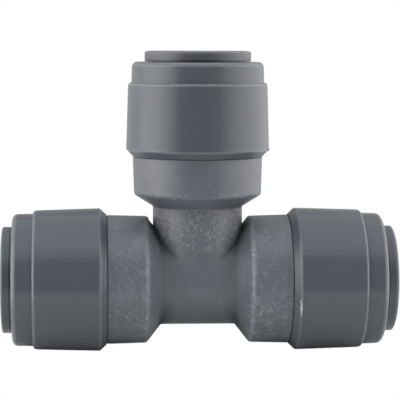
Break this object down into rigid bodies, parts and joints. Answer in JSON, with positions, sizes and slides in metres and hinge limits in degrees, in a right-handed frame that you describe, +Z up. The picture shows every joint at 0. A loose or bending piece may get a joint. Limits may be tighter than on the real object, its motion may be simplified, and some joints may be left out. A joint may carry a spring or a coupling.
{
  "type": "push-in tube tee",
  "caption": "Grey plastic tee that joins three tubes by push-in ports, each with a snapped-on cap and a sliding release collet.",
  "frame": {"origin": "on the surface the tee stands on, below the crossing of its passages: the centre of the bottom of its box", "axes": "+X along the run to the right-hand port, +Z up the branch, +Y from the front to the back"},
  "size_m": [0.057, 0.0208, 0.0437],
  "materials": {
    "body_plastic": "moulded grey acetal, scuffed by handling",
    "cap_plastic": "moulded grey acetal, smooth with fine orange peel",
    "collet_plastic": "moulded grey acetal, smooth",
    "seal_rubber": "black nitrile rubber, lightly greased",
    "ring_plastic": "off-white moulded acetal",
    "tooth_steel": "bright stainless strip"
  },
  "bodies": {
    "fitting": {"tee_body": "body_plastic", "cap_left": "cap_plastic", "inner_o_ring_left": "seal_rubber", "spacer_ring_left": "ring_plastic", "outer_o_ring_left": "seal_rubber", "support_ring_left": "ring_plastic", "cap_right": "cap_plastic", "inner_o_ring_right": "seal_rubber", "spacer_ring_right": "ring_plastic", "outer_o_ring_right": "seal_rubber", "support_ring_right": "ring_plastic", "cap_branch": "cap_plastic", "inner_o_ring_branch": "seal_rubber", "spacer_ring_branch": "ring_plastic", "outer_o_ring_branch": "seal_rubber", "support_ring_branch": "ring_plastic"},
    "collet_left": {"collet_left": "collet_plastic", "grab_tooth_left_1": "tooth_steel", "grab_tooth_left_2": "tooth_steel", "grab_tooth_left_3": "tooth_steel", "grab_tooth_left_4": "tooth_steel", "grab_tooth_left_5": "tooth_steel", "grab_tooth_left_6": "tooth_steel"},
    "collet_right": {"collet_right": "collet_plastic", "grab_tooth_right_1": "tooth_steel", "grab_tooth_right_2": "tooth_steel", "grab_tooth_right_3": "tooth_steel", "grab_tooth_right_4": "tooth_steel", "grab_tooth_right_5": "tooth_steel", "grab_tooth_right_6": "tooth_steel"},
    "collet_branch": {"collet_branch": "collet_plastic", "grab_tooth_branch_1": "tooth_steel", "grab_tooth_branch_2": "tooth_steel", "grab_tooth_branch_3": "tooth_steel", "grab_tooth_branch_4": "tooth_steel", "grab_tooth_branch_5": "tooth_steel", "grab_tooth_branch_6": "tooth_steel"}
  },
  "joints": [
    {"name": "collet_left_slide", "type": "slide", "parent": "fitting", "child": "collet_left", "axis": [-1, 0, 0], "range_m": [-0.00002, 0.00164]},
    {"name": "collet_right_slide", "type": "slide", "parent": "fitting", "child": "collet_right", "axis": [1, 0, 0], "range_m": [-0.0002, 0.00144]},
    {"name": "collet_branch_slide", "type": "slide", "parent": "fitting", "child": "collet_branch", "axis": [0, 0, 1], "range_m": [-0.00005, 0.0016]}
  ]
}
